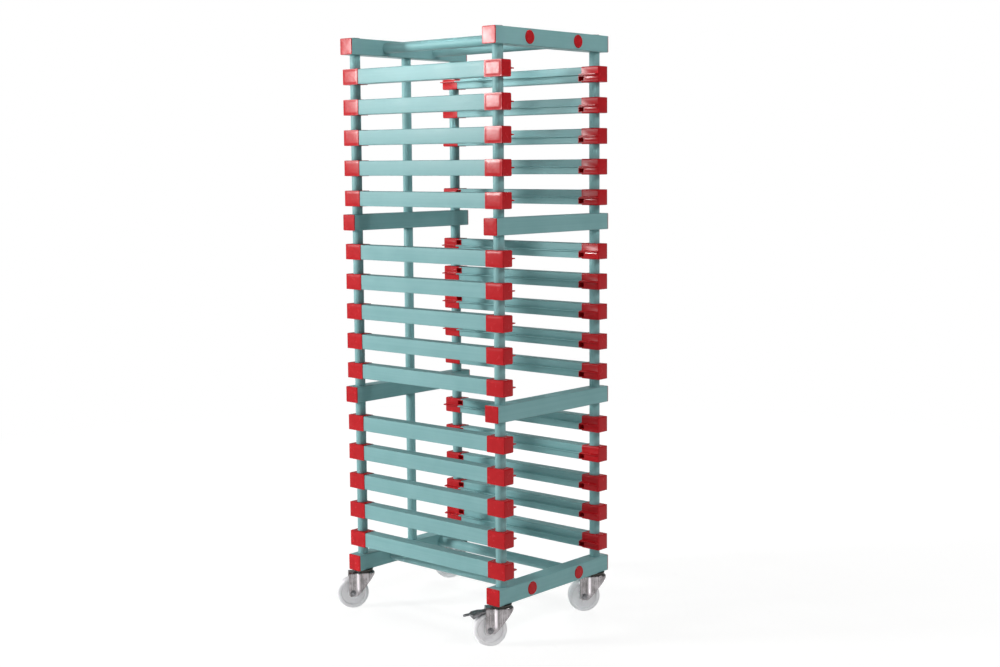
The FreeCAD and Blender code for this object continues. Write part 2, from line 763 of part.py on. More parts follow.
for row in ("front", "back"):
    for level in range(len(LEVELS)):
        beam(row, level)
beam_plugs()
crush_tubes()
for corner in CORNERS:
    post_core(f"post_core_{corner}", corner_place(corner, rack_low))
post_core("stop_post_core", stop_place(rack_low))
post_sleeves()
stop_post()
post_screws()
tray_rails()
rail_caps()
cross_tubes()
casters()

doc.recompute()
for thing in doc.Objects:
    if "Invalid" in thing.State or "Error" in thing.State:
        raise RuntimeError(f"{thing.Label} failed: {thing.State}")
os.makedirs("parts", exist_ok=True)
for thing in sub_parts:
    if thing.Shape.isNull() or not thing.Shape.isValid():
        raise RuntimeError(f"{thing.Label} has no valid shape")
    thing.Shape.exportStep(f"parts/{thing.Label}.step")
print(f"{len(sub_parts)} sub-parts, {sum(len(thing.Shape.Solids) for thing in sub_parts)} solids")
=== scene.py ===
import json
import math

import bmesh
import bpy
import numpy as np
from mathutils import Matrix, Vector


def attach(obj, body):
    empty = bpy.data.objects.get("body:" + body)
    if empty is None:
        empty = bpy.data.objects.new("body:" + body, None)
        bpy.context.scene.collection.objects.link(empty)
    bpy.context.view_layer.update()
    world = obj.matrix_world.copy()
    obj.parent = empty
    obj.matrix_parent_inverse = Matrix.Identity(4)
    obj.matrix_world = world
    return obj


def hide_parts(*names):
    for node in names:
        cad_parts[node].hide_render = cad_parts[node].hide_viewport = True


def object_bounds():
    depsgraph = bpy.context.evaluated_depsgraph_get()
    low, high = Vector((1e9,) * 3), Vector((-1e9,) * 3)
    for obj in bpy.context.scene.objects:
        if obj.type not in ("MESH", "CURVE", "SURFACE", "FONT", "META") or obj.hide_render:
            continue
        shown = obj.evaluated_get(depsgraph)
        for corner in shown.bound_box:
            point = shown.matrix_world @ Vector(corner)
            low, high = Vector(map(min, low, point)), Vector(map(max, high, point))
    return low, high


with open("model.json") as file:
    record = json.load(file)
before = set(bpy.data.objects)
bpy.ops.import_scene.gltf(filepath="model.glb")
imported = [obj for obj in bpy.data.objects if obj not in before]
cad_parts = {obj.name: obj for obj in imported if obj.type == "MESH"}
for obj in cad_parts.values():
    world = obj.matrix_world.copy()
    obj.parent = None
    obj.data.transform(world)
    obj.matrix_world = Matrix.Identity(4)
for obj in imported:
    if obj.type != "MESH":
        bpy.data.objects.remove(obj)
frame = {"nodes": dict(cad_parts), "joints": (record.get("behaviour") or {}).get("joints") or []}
cadBox = [list(corner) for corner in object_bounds()]

# Tray rack trolley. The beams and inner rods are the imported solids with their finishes, and the rails and
# caps are copies of them with softer edges. The plugs, sleeves, tubes, screws and casters are surfaces
# worked out here, in millimetres, and set down in the frame's metres.

scene = bpy.context.scene
millimetre = 0.001
weld = 2e-6  # points closer than this, in metres, become one
sliver = 1e-6  # edges shorter than this go
cornerNames = ("front_left", "front_right", "back_left", "back_right")
brakedCorners = ("front_left", "back_right")
joints = {joint["name"]: joint for joint in frame["joints"]}


# sRGB hex to linear: c / 12.92 up to 0.04045, above it ((c + 0.055) / 1.055) to the power 2.4
def linear(hexColour):
    srgb = np.array([int(hexColour[i:i + 2], 16) for i in (1, 3, 5)]) / 255
    channels = np.where(srgb <= 0.04045, srgb / 12.92, ((srgb + 0.055) / 1.055) ** 2.4)
    return (*channels.tolist(), 1.0)


# one node with its settings; an input is a plain value or another node's output
def addNode(tree, kind, inputs=None, **settings):
    node = tree.nodes.new("ShaderNode" + kind)
    for name, setting in settings.items():
        setattr(node, name, setting)
    for socket, source in (inputs or {}).items():
        if isinstance(source, bpy.types.NodeSocket):
            tree.links.new(source, node.inputs[socket])
        else:
            node.inputs[socket].default_value = source
    return node


def newMaterial(name, **sockets):
    material = bpy.data.materials.new(name)
    material.use_nodes = True
    shader = material.node_tree.nodes["Principled BSDF"]
    for socket, number in sockets.items():
        shader.inputs[socket.replace("_", " ")].default_value = number
    return material, material.node_tree, shader


# how many times a pattern of this size in mm repeats in a metre
def perMetre(size):
    return 1 / (size * millimetre)


# colour and roughness of a shader from one pattern, bump from another, both from 0 to 1
def dress(tree, shader, look, tint, grain):
    dark, pale = (linear(colour) for colour in look["colours"])
    mix = addNode(tree, "Mix", {0: tint, 6: dark, 7: pale}, data_type="RGBA")
    tree.links.new(mix.outputs[2], shader.inputs["Base Color"])
    span = addNode(tree, "MapRange", {"Value": tint, "To Min": look["rough"][0], "To Max": look["rough"][1]})
    tree.links.new(span.outputs[0], shader.inputs["Roughness"])
    bump = addNode(tree, "Bump", {"Height": grain, "Strength": 1.0, "Distance": look["bump"] * millimetre})
    tree.links.new(bump.outputs[0], shader.inputs["Normal"])


# noise drawn out by its sizes in mm along x, y and z
def streaks(tree, sizes):
    where = addNode(tree, "TexCoord").outputs["Object"]
    scale = [perMetre(size) for size in sizes]
    drawn = addNode(tree, "Mapping", {"Vector": where, "Scale": scale})
    return addNode(tree, "TexNoise", {"Vector": drawn.outputs[0], "Scale": 1.0, "Detail": 3.0}).outputs[0]


noiseSum = (0.7, 1.3)  # where the sum of two noises mostly lies


# a pattern with slow cloudiness added, spread over 0 to the usual share
def clouded(tree, pattern, size, detail, usual=1.0):
    where = addNode(tree, "TexCoord").outputs["Object"]
    cloud = addNode(tree, "TexNoise", {"Vector": where, "Scale": perMetre(size), "Detail": detail})
    both = addNode(tree, "Math", {0: pattern, 1: cloud.outputs[0]}, operation="ADD")
    return addNode(tree, "MapRange", {"Value": both.outputs[0], "From Min": noiseSum[0],
                                      "From Max": noiseSum[1], "To Max": usual}).outputs[0]


# rigid PVC drawn through a die: an even satin skin, faint draw lines along the run, slow cloudiness
# the lines are drawn 6 mm wide, coarser than real, so that they show
pvcLook = {"colours": ("#82B1B3", "#8CBABC"), "rough": (0.32, 0.44), "shine": 0.14, "line": 6,
           "lineLength": 900, "cloud": 90, "bump": 0.05}


def drawnPvc(name, run):
    material, tree, shader = newMaterial(name, IOR=1.53, Specular_IOR_Level=pvcLook["shine"])
    sizes = [pvcLook["line"]] * 3
    sizes[run] = pvcLook["lineLength"]
    lines = streaks(tree, sizes)
    dress(tree, shader, pvcLook, clouded(tree, lines, pvcLook["cloud"], detail=2.0), lines)
    return material


# polypropylene moulded in a spark-eroded tool: semi-gloss, with shallow sinks that break up its highlights
# the bodies of the rail caps are flatter, and the lands beside their windows are the smoothest
redLook = {"colours": ("#B8121B", "#C81B24"), "rough": (0.20, 0.31), "shine": 0.17, "sink": 16,
           "grain": 2.0, "bump": 0.22, "grainShare": 0.12}
capLook = {**redLook, "bump": 0.07}
landLook = {**redLook, "rough": (0.13, 0.17), "bump": 0.01}


def mouldedRed(name, look):
    material, tree, shader = newMaterial(name, IOR=1.49, Specular_IOR_Level=look["shine"])
    where = addNode(tree, "TexCoord").outputs["Object"]
    sinks = addNode(tree, "TexNoise", {"Vector": where, "Scale": perMetre(look["sink"]), "Detail": 1.5})
    grain = addNode(tree, "TexNoise", {"Vector": where, "Scale": perMetre(look["grain"]), "Detail": 2.0})
    relief = addNode(tree, "Math", {0: grain.outputs[0], 1: look["grainShare"], 2: sinks.outputs[0]},
                     operation="MULTIPLY_ADD")
    dress(tree, shader, look, sinks.outputs[0], relief.outputs[0])
    return material


# cast nylon turned on a lathe: off-white, a little light goes into it, fine rings round the axle
nylonLook = {"colours": ("#EFEEF2", "#F8F7FA"), "rough": (0.34, 0.5), "ring": 2.2, "cloud": 30,
             "bump": 0.06, "depth": 9}


def turnedNylon():
    material, tree, shader = newMaterial("turnedWhiteNylon", IOR=1.53, Subsurface_Weight=0.4,
                                         Subsurface_Radius=(1, 1, 1),
                                         Subsurface_Scale=nylonLook["depth"] * millimetre)
    radius = addNode(tree, "Attribute", attribute_name="axleDistance")
    rings = addNode(tree, "TexNoise", {"W": radius.outputs["Fac"], "Scale": 1 / nylonLook["ring"]},
                    noise_dimensions="1D").outputs[0]
    dress(tree, shader, nylonLook, clouded(tree, rings, nylonLook["cloud"], detail=2.0), rings)
    return material


# stainless sheet, pressed and brushed: pale, with streaks that hang down and a soft unevenness
# "usual" is the share of the colour range that the plain sheet reaches; a painted highlight along the fork's
# pressed rib goes to the pale end
stainlessLook = {"colours": ("#686665", "#FFF7FC"), "usual": 0.42, "rough": (0.24, 0.4), "streak": 3.2,
                 "streakLength": 70, "cloud": 26, "bump": 0.03}
# zinc-plated steel gone dark: dull and grey, with short marks from the rolls
zincLook = {"colours": ("#5A5A5C", "#9C9C9F"), "usual": 1.0, "rough": (0.34, 0.52), "streak": 3,
            "streakLength": 6, "cloud": 9, "bump": 0.08}
# bearing steel, dull, with hardly any streaks; its dark colour is painted shade for the shadowed gap under
# the beam
bearingLook = {"colours": ("#3E3D3B", "#55534F"), "usual": 1.0, "rough": (0.4, 0.55), "streak": 6,
               "streakLength": 8, "cloud": 12, "bump": 0.02}


def metal(name, look):
    material, tree, shader = newMaterial(name, Metallic=1.0)
    marks = streaks(tree, (look["streak"], look["streak"], look["streakLength"]))
    tint = clouded(tree, marks, look["cloud"], detail=3.0, usual=look["usual"])
    # painted highlight: the forks carry this attribute along their pressed ribs, and it lifts the colour to
    # the pale end
    ribHighlight = addNode(tree, "Attribute", attribute_name="paintedRibHighlight")
    tintOrHighlight = addNode(tree, "Math", {0: tint, 1: ribHighlight.outputs["Fac"]}, operation="MAXIMUM")
    dress(tree, shader, look, tintOrHighlight.outputs[0], marks)
    return material


# moulded nylon of the hidden spacers and bushes: dark, dull, lightly mottled
innerLook = {"colours": ("#34373A", "#44484B"), "rough": (0.45, 0.6), "mottle": 5, "bump": 0.05}


def innerNylon():
    material, tree, shader = newMaterial("mouldedDarkNylon", IOR=1.53)
    mottle = streaks(tree, [innerLook["mottle"]] * 3)
    dress(tree, shader, innerLook, mottle, mottle)
    return material


pvcAcross = drawnPvc("drawnPvcAcross", 0)
pvcDeep = drawnPvc("drawnPvcFrontToBack", 1)
pvcUpright = drawnPvc("drawnPvcUpright", 2)
redPlastic = mouldedRed("mouldedRedPolypropylene", redLook)
redCaps = mouldedRed("mouldedRedCaps", capLook)
redLand = mouldedRed("smoothRedPolypropylene", landLook)
whiteNylon = turnedNylon()
stainless = metal("pressedStainless", stainlessLook)
darkZinc = metal("blackenedZincSteel", zincLook)
bearingSteel = metal("bearingSteelPaintedShade", bearingLook)
darkNylon = innerNylon()

# the longest of these starts that fits a node's name says its finish
nodeFinish = {"front_beam": pvcAcross, "back_beam": pvcAcross, "tray_rails": pvcDeep, "cross_tube": pvcDeep,
              "post_sleeves": pvcUpright, "stop_post_tubes": pvcUpright, "beam_end_plugs": redPlastic,
              "cross_tube_plugs": redPlastic, "rail_end_caps": redCaps, "post": stainless,
              "stop_post": stainless, "caster": stainless, "caster_wheel": whiteNylon,
              "caster_wheel_bush": darkNylon, "beam_crush": darkNylon, "brake_pedal": darkZinc}
for nodeName, node in frame["nodes"].items():
    start = max((key for key in nodeFinish if nodeName.startswith(key)), key=len)
    node.data.materials.clear()
    node.data.materials.append(nodeFinish[start])
print("materials:", len(bpy.data.materials))


# quads between neighbouring rows and columns of a grid; a closed direction joins its last line to its first
def gridFaces(rows, columns, closeRows, closeColumns):
    index = np.arange(rows * columns).reshape(rows, columns)
    if closeRows:
        index = np.concatenate([index, index[:1]])
    if closeColumns:
        index = np.concatenate([index, index[:, :1]], axis=1)
    corners = [index[:-1, :-1], index[:-1, 1:], index[1:, 1:], index[1:, :-1]]
    return np.stack(corners, axis=-1).reshape(-1, 4)


# smooth faces, with edges sharper than the angle kept crisp
def smoothed(mesh, sharpAngle):
    mesh.polygons.foreach_set("use_smooth", np.ones(len(mesh.polygons), bool))
    mesh.set_sharp_from_angle(angle=math.radians(sharpAngle))
    mesh.update()


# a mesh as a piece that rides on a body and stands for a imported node
def addPiece(name, mesh, body, replaced):
    piece = bpy.data.objects.new(name, mesh)
    scene.collection.objects.link(piece)
    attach(piece, body)
    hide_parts(replaced)
    return piece


# one piece from grids of points in metres; each grid comes with its two closed flags
def makePiece(name, grids, material, body, replaced, sharpAngle=40):
    points, faces, first = [], [], 0
    for grid, closeRows, closeColumns in grids:
        points.append(grid.reshape(-1, 3))
        faces.append(gridFaces(*grid.shape[:2], closeRows, closeColumns) + first)
        first += len(points[-1])
    mesh = bpy.data.meshes.new(name)
    mesh.from_pydata(np.concatenate(points).tolist(), [], np.concatenate(faces).tolist())
    work = bmesh.new()
    work.from_mesh(mesh)
    bmesh.ops.remove_doubles(work, verts=work.verts, dist=weld)
    bmesh.ops.dissolve_degenerate(work, edges=work.edges, dist=sliver)
    bmesh.ops.recalc_face_normals(work, faces=work.faces)
    work.to_mesh(mesh)
    work.free()
    smoothed(mesh, sharpAngle)
    mesh.materials.append(material)
    return addPiece(name, mesh, body, replaced)


# points of a mesh in metres, one row each
def meshPlaces(mesh):
    places = np.empty(len(mesh.vertices) * 3, np.float32)
    mesh.vertices.foreach_get("co", places)
    return places.reshape(-1, 3)


# a sheet of metal: thickness to the inside, then a small round on its cut edges
def sheetMetal(piece, thickness, edge):
    wall = piece.modifiers.new("wall", "SOLIDIFY")
    wall.thickness = thickness * millimetre
    wall.offset = -1
    wall.use_even_offset = True
    softEdge(piece, edge)


edgeRound = {"segments": 2, "angle": 50}  # edges that turn more than this angle are rounded


def softEdge(piece, edge):
    bevel = piece.modifiers.new("edge", "BEVEL")
    bevel.width = edge * millimetre
    bevel.segments = edgeRound["segments"]
    bevel.limit_method = "ANGLE"
    bevel.angle_limit = math.radians(edgeRound["angle"])


# boxes in mm of the separate solids of a node: labels spread over shared corners until they settle
# corners that round to the same hundredth of a millimetre are shared
def solidBoxes(nodeName):
    mesh = frame["nodes"][nodeName].data
    places = meshPlaces(mesh) / millimetre
    mesh.calc_loop_triangles()
    corners = np.empty(len(mesh.loop_triangles) * 3, np.int32)
    mesh.loop_triangles.foreach_get("vertices", corners)
    merged = np.unique(np.round(places * 100), axis=0, return_inverse=True)[1].ravel()
    triangles = merged[corners.reshape(-1, 3)]
    label = np.arange(merged.max() + 1)
    settled = False
    while not settled:
        lowest = label[triangles].min(axis=1)
        spread = label.copy()
        np.minimum.at(spread, triangles.ravel(), np.repeat(lowest, 3))
        spread = spread[spread]
        settled = bool((spread == label).all())
        label = spread
    solid = label[merged]
    return [(places[solid == number].min(axis=0), places[solid == number].max(axis=0))
            for number in np.unique(solid)]


def anglesRound(steps):
    return np.linspace(0, 2 * np.pi, steps, endpoint=False)


turnAngle = anglesRound(48)


# swept round the z axis: x = r cos a, y = r sin a; a row's radius and height may change with the angle
def turned(rows, angle=turnAngle):
    rings = [np.broadcast_arrays(radius * np.cos(angle), radius * np.sin(angle), height)
             for radius, height in rows]
    return np.array(rings).transpose(0, 2, 1)


# corners of an outline rounded by arcs: each arc turns evenly between the normals of its two sides
def filleted(corners, radii, closed=True, steps=6):
    corner = np.asarray(corners, float)
    radius = np.broadcast_to(np.asarray(radii, float), len(corner))
    back = np.roll(corner, 1, axis=0) - corner
    ahead = np.roll(corner, -1, axis=0) - corner
    back /= np.linalg.norm(back, axis=1, keepdims=True)
    ahead /= np.linalg.norm(ahead, axis=1, keepdims=True)
    halfTurn = np.arccos(np.clip((back * ahead).sum(axis=1), -1, 1)) / 2
    middle = back + ahead
    middle /= np.linalg.norm(middle, axis=1, keepdims=True)
    centre = corner + middle * (radius / np.sin(halfTurn))[:, None]
    spread = (np.pi / 2 - halfTurn)[:, None] * np.linspace(-1, 1, steps)
    sideways = back - (back * middle).sum(axis=1, keepdims=True) * middle
    sideways /= np.linalg.norm(sideways, axis=1, keepdims=True)
    arc = -np.cos(spread)[..., None] * middle[:, None] - np.sin(spread)[..., None] * sideways[:, None]
    outline = centre[:, None] + radius[:, None, None] * arc
    if not closed:
        outline[0] = corner[0]
        outline[-1] = corner[-1]
    return outline.reshape(-1, 2)


# a grid set down in the frame: rows of axes say where its own x, y and z point, origin in mm
def placed(grid, axes, origin):
    return (grid @ np.asarray(axes, float) + np.asarray(origin, float)) * millimetre


upright = ((1, 0, 0), (0, 1, 0), (0, 0, 1))
upsideDown = ((1, 0, 0), (0, -1, 0), (0, 0, -1))
toFront = ((1, 0, 0), (0, 0, 1), (0, -1, 0))
toBack = ((-1, 0, 0), (0, 0, 1), (0, 1, 0))


# a grid stood upright on the middle of a solid's box
def standing(grid, low, high, height=0):
    middle = (low + high) / 2
    return placed(grid, upright, (middle[0], middle[1], height))


# tubes: ring section of outer and inner radius, its cut ends broken by a small round
def tubeGrid(size, length):
    outside, bore = size["outside"], size["bore"]
    section = filleted([(bore, 0), (outside, 0), (outside, length), (bore, length)], size["edge"], steps=4)
    return turned(section)


def tubeStack(nodeName, size):
    return [(standing(tubeGrid(size, high[2] - low[2]), low, high, low[2]), True, True)
            for low, high in solidBoxes(nodeName)]


sleeves = {"outside": 16, "bore": 9.25, "edge": 0.8}
for corner in cornerNames:
    nodeName = f"post_sleeves_{corner}"
    makePiece(f"postSleeves.{corner}", tubeStack(nodeName, sleeves), pvcUpright, "rack",
              nodeName)

stopTubes = {"outside": 15, "bore": 9.25, "edge": 0.8}
makePiece("stopPostTubes", tubeStack("stop_post_tubes", stopTubes), pvcUpright, "rack",
          "stop_post_tubes")

crossTubes = {"outside": 16, "bore": 13, "edge": 0.6}
for level in ("bottom", "top"):
    for side in ("left", "right"):
        nodeName = f"cross_tube_{level}_{side}"
        low, high = solidBoxes(nodeName)[0]
        middle = (low + high) / 2
        tube = placed(tubeGrid(crossTubes, high[1] - low[1]), toBack, (middle[0], low[1], middle[2]))
        makePiece(f"crossTube.{level}.{side}", [(tube, True, True)], pvcDeep, "rack",
                  nodeName)
print("posts and tubes done")

# round plugs: domed face inside a raised rim, bevelled to the beam, and a spigot in the tube
roundPlug = {"rim": 20, "thick": 3, "bevel": 2.2, "rimWidth": 3.2, "groove": 0.9, "dome": 0.5, "spigot": 12.8,
             "spigotLength": 14, "fillets": (0, 0.5, 0.7, 0.5, 0.2, 0.2, 1, 0)}


def roundPlugGrid(size):
    top, rim, spigot, end = size["thick"], size["rim"], size["spigot"], -size["spigotLength"]
    rimTop = rim - size["bevel"]
    inner = rimTop - size["rimWidth"]
    sunk = top - size["groove"]
    share = np.linspace(0, 1, 8)[:-1]
    face = np.stack([share * inner, sunk + size["dome"] * (1 - share ** 2)], axis=-1)
    outline = [(inner, sunk), (inner + size["groove"], top), (rimTop, top), (rim, top - size["bevel"]),
               (rim, 0), (spigot, 0), (spigot, end), (0, end)]
    return turned(np.concatenate([face, filleted(outline, size["fillets"], closed=False, steps=4)]))


grids = []
for low, high in solidBoxes("cross_tube_plugs"):
    atFront = low[1] < 0
    flange = low[1] + roundPlug["thick"] if atFront else high[1] - roundPlug["thick"]
    middle = (low + high) / 2
    axes = toFront if atFront else toBack
    grids.append((placed(roundPlugGrid(roundPlug), axes, (middle[0], flange, middle[2])), False, True))
makePiece("crossTubePlugs", grids, redPlastic, "rack", "cross_tube_plugs")

# square plugs: rounded squares stacked outwards, from the spigot in the beam to a faintly crowned face
squarePlug = {"half": 25, "corner": 3, "flange": 3, "edge": 1.1, "crown": 0.35, "frame": 3.2,
              "frameStep": 0.35, "spigot": 21.8, "spigotLength": 15, "spigotCorner": 1}


# stations of half width, corner radius and height; columns go round the four corner arcs
def squareStations(half, radius, height, steps=6):
    quarter = np.linspace(0, np.pi / 2, steps)
    angle = (quarter + np.arange(4)[:, None] * np.pi / 2).ravel()
    around = np.stack([np.cos(angle), np.sin(angle)], axis=-1)
    middle = np.repeat(np.arange(4) * np.pi / 2 + np.pi / 4, steps)
    sign = np.sign(np.stack([np.cos(middle), np.sin(middle)], axis=-1))
    half, radius, height = (np.asarray(value, float) for value in (half, radius, height))
    flat = (half - radius)[:, None, None] * sign + radius[:, None, None] * around
    tall = np.broadcast_to(height[:, None, None], flat.shape[:2] + (1,))
    return np.concatenate([flat, tall], axis=-1)


def squarePlugGrid(size):
    face, corner, flange, step = size["half"], size["corner"], size["flange"], size["frameStep"]
    turn = np.linspace(0, np.pi / 2, 5)
    inset = size["edge"] * (1 - np.cos(turn))
    edgeHeight = flange - size["edge"] * (1 - np.sin(turn))
    panel = face - size["frame"]
    share = np.linspace(1, 0, 7)
    half = np.concatenate([[0, size["spigot"], size["spigot"], face], face - inset, [panel + step],
                           share * panel])
    radius = np.concatenate([[0, size["spigotCorner"], size["spigotCorner"], corner], corner - inset,
                             [corner / 2], share * corner / 2])
    height = np.concatenate([[-size["spigotLength"]] * 2, [0, 0], edgeHeight, [flange],
                             flange - step + size["crown"] * (1 - share ** 2)])
    return squareStations(half, radius, height)


for side, out in (("left", -1), ("right", 1)):
    axes = ((0, out, 0), (0, 0, 1), (out, 0, 0))
    grids = []
    for low, high in solidBoxes(f"beam_end_plugs_{side}"):
        outer = high[0] if out > 0 else low[0]
        middle = (low + high) / 2
        origin = (outer - out * squarePlug["flange"], middle[1], middle[2])
        grids.append((placed(squarePlugGrid(squarePlug), axes, origin), False, True))
    makePiece(f"beamEndPlugs.{side}", grids, redPlastic, "rack", f"beam_end_plugs_{side}",
              sharpAngle=30)
print("plugs done")


# radius of a hexagon of this half width at each angle
def hexRadius(halfWidth):
    return halfWidth / np.cos((turnAngle + np.pi / 6) % (np.pi / 3) - np.pi / 6)


# flat round screw heads with a hexagon socket, shank below
screw = {"head": 15, "thick": 2.5, "edge": 0.9, "socket": 4, "socketDepth": 6, "lead": 0.5, "ring": 0.1,
         "shank": 5.9, "length": 40, "neck": 0.1, "tipEdge": 1}


def screwGrid(size):
    top, head, shank, end = size["thick"], size["head"], size["shank"], -size["length"]
    socket = hexRadius(size["socket"])
    mouth = size["socket"] / math.cos(math.pi / 6) + size["lead"]
    bottom = top - size["socketDepth"]
    rows = [(0, bottom), (socket, bottom), (socket, top - size["lead"]), (mouth, top)]
    outline = [(mouth + size["ring"], top), (head, top), (head, 0), (shank, 0), (shank, end), (0, end)]
    fillets = [0, size["edge"], size["neck"], size["neck"], size["tipEdge"], 0]
    return turned(rows + list(filleted(outline, fillets, closed=False, steps=4)))


grids = []
rackTop = cadBox[1][2] / millimetre
for low, high in solidBoxes("post_screws"):
    middle = (low + high) / 2
    fromTop = rackTop - high[2] < screw["thick"]
    axes = upright if fromTop else upsideDown
    under = high[2] - screw["thick"] if fromTop else low[2] + screw["thick"]
    grids.append((placed(screwGrid(screw), axes, (middle[0], middle[1], under)), False, True))
makePiece("postScrews", grids, stainless, "rack", "post_screws", sharpAngle=30)


# ledge on a rail or cap: root and tip as distances from the middle of the rack, thinner at the tip
ledge = {"root": 202, "tip": 188.5, "thinner": 0.45}
# degrees: faces nearer than this to one plane are joined, edges sharper than the second stay crisp
copied = {"flat": 1, "crisp": 35}


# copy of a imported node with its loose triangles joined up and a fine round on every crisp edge
# its ledges thin towards the tip: height over the ledge's own middle times 1 - thinner * share of the reach
def softenedCopy(name, nodeName, edge):
    mesh = frame["nodes"][nodeName].data.copy()
    work = bmesh.new()
    work.from_mesh(mesh)
    bmesh.ops.remove_doubles(work, verts=work.verts, dist=weld)
    flat = math.radians(copied["flat"])
    bmesh.ops.dissolve_limit(work, angle_limit=flat, verts=work.verts, edges=work.edges)
    work.to_mesh(mesh)
    work.free()
    places = meshPlaces(mesh)
    middles = np.array([(low[2] + high[2]) / 2 for low, high in solidBoxes(nodeName)]) * millimetre
    nearest = middles[np.abs(places[:, 2:] - middles).argmin(axis=1)]
    share = (ledge["root"] - np.abs(places[:, 0]) / millimetre) / (ledge["root"] - ledge["tip"])
    places[:, 2] = nearest + (places[:, 2] - nearest) * (1 - ledge["thinner"] * np.clip(share, 0, 1))
    mesh.vertices.foreach_set("co", places.ravel())
    smoothed(mesh, copied["crisp"])
    softEdge(addPiece(name, mesh, "rack", nodeName), edge)


# smooth step from 0 to 1 between two values
def ease(value, start, end):
    share = np.clip((value - start) / (end - start), 0, 1)
    return share * share * (3 - 2 * share)


# rail caps with a blind pocket in each window: a box open at the face, on the cap's tray side
# a shallow crown stands on the outer face, where the moulding shrinks least
# a smooth, gently domed land runs from the window along its half of the tray side
# towards is the way from the post into the rail, over is the half of the cap that has the window
cap = {"edge": 0.45, "half": 22, "length": 67}
pocket = {"middle": 34.5, "height": 11.5, "halfLength": 9.95, "halfHeight": 6.95, "wall": 0.3, "depth": 20,
          "cornerShare": 0.08, "inset": 0.25, "drawnIn": (1, 0.12, 0, 0, 0, 0.1, 0.1, 1),
          "depthShares": (1, 1, 0.93, 0, 0, 0.93, 1, 1)}
crown = {"halfLength": 33, "halfHeight": 24, "ends": 10, "border": 10, "rise": 0.6, "sunk": 0.15,
         "under": 1.5}
capLand = {"middle": -4, "height": 10, "inset": 0, "halfLength": 25, "halfHeight": 6.5, "ends": 2,
           "border": 4.2, "rise": 0.38, "sunk": 0.1, "under": 0.8}


# eight rectangles: floor of the pocket, up its wall, over the lip, down the outside and closed
def pocketGrid(size):
    share = 1 - np.array(size["drawnIn"])
    wall = np.repeat([size["wall"], 0], 4)[:, None]
    depth = np.array(size["depthShares"]) * -size["depth"]
    depth[5:] -= size["wall"]
    grid = squareStations(share, size["cornerShare"] * share, depth)
    grid[..., 0] *= size["halfLength"] - wall
    grid[..., 1] *= size["halfHeight"] - wall
    return grid


# steps in from both ends of a width, over its borders
def borderSteps(half, border, steps=7):
    low = np.linspace(0, 1, steps) * border - half
    return np.concatenate([low, -low[::-1]])


# a lens: the height is a product of two smooth steps in from the borders, its underside lies in the cap
def crownGrid(size):
    along = borderSteps(size["halfLength"], size["ends"])
    up = borderSteps(size["halfHeight"], size["border"])
    share = ease(size["halfLength"] - np.abs(along), 0, size["ends"])[:, None]
    share = share * ease(size["halfHeight"] - np.abs(up), 0, size["border"])
    lift = np.concatenate([share * (size["rise"] + size["sunk"]), -share[:, ::-1] * size["under"]], axis=1)
    across = np.broadcast_to(np.concatenate([up, up[::-1]]), lift.shape)
    return np.stack([np.broadcast_to(along[:, None], lift.shape), across, lift - size["sunk"]], axis=-1)


for corner in cornerNames:
    nodeName = f"rail_end_caps_{corner}"
    softenedCopy(f"railEndCaps.{corner}", nodeName, cap["edge"])
    inside = 1 if "left" in corner else -1
    towards = 1 if "front" in corner else -1
    over = inside * towards
    inAxes = ((0, towards, 0), (0, 0, over), (inside, 0, 0))
    outAxes = ((0, 1, 0), (0, 0, -inside), (-inside, 0, 0))
    pockets, crowns, lands = [], [], []
    for low, high in solidBoxes(nodeName):
        level = (low[2] + high[2]) / 2
        outer = low[0] if inside > 0 else high[0]
        inner = outer + inside * 2 * cap["half"]
        post = (low[1] if towards > 0 else high[1]) + towards * cap["length"] / 2
        pocketAt, landAt = [(inner - inside * part["inset"], post + towards * part["middle"],
                             level + over * part["height"]) for part in (pocket, capLand)]
        pockets.append((placed(pocketGrid(pocket), inAxes, pocketAt), False, True))
        crowns.append((placed(crownGrid(crown), outAxes, (outer, post, level)), False, True))
        lands.append((placed(crownGrid(capLand), inAxes, landAt), False, True))
    for name, grids, red in (("capPockets", pockets, redPlastic), ("capCrowns", crowns, redPlastic),
                             ("capLands", lands, redLand)):
        makePiece(f"{name}.{corner}", grids, red, "rack", nodeName)

railEdge = 0.8  # round on the edges of the drawn profile
for side in ("left", "right"):
    for bay in ("lower", "middle", "upper"):
        softenedCopy(f"trayRails.{side}.{bay}", f"tray_rails_{side}_{bay}", railEdge)
print("screws, caps and rails done")


# a caster's own axes: x trails behind the swivel, y along the axle, z up, origin under the swivel
def casterPlace(corner):
    axle = joints[f"roll_{corner}"]["axis"]
    pivot = joints[f"swivel_{corner}"]["pos_m"]
    axes = ((axle[1], -axle[0], 0), (axle[0], axle[1], 0), (0, 0, 1))
    return axes, (pivot[0] / millimetre, pivot[1] / millimetre, 0)


# from the axle, grids swept round z lie along it: own z becomes the axle
def axlePlace(corner):
    axes = casterPlace(corner)[0]
    centre = np.array(joints[f"roll_{corner}"]["pos_m"]) / millimetre
    return (axes[0], axes[2], axes[1]), centre


# vertices of a piece in millimetres along its own axes
def ownPlaces(piece, axes, origin):
    places = meshPlaces(piece.data) / millimetre - np.array(origin)
    return (places @ np.array(axes, float).T).T


# one number a vertex for a material to read
def addAttribute(piece, name, values):
    layer = piece.data.attributes.new(name, "FLOAT", "POINT")
    layer.data.foreach_set("value", values.astype(np.float32))


# fork: a pressed sheet whose top plate bends down into a skirt, long at the legs and short at the round nose
# a shift along the leg and a band in from the outer face place a painted highlight along each ridge
fork = {"half": 22.2, "nose": -36, "tail": 48.5, "top": 116.6, "sheet": 3.2, "bend": 6, "foot": 38,
        "footRound": 10, "footFront": 20, "noseSkirt": 8, "ridge": 17.5, "ridgeHalf": 8.5, "ridgeHeight": 3,
        "ridgeFoot": 44, "ridgeFade": 22, "highlightShift": -1, "highlightBand": 3, "edge": 0.5}


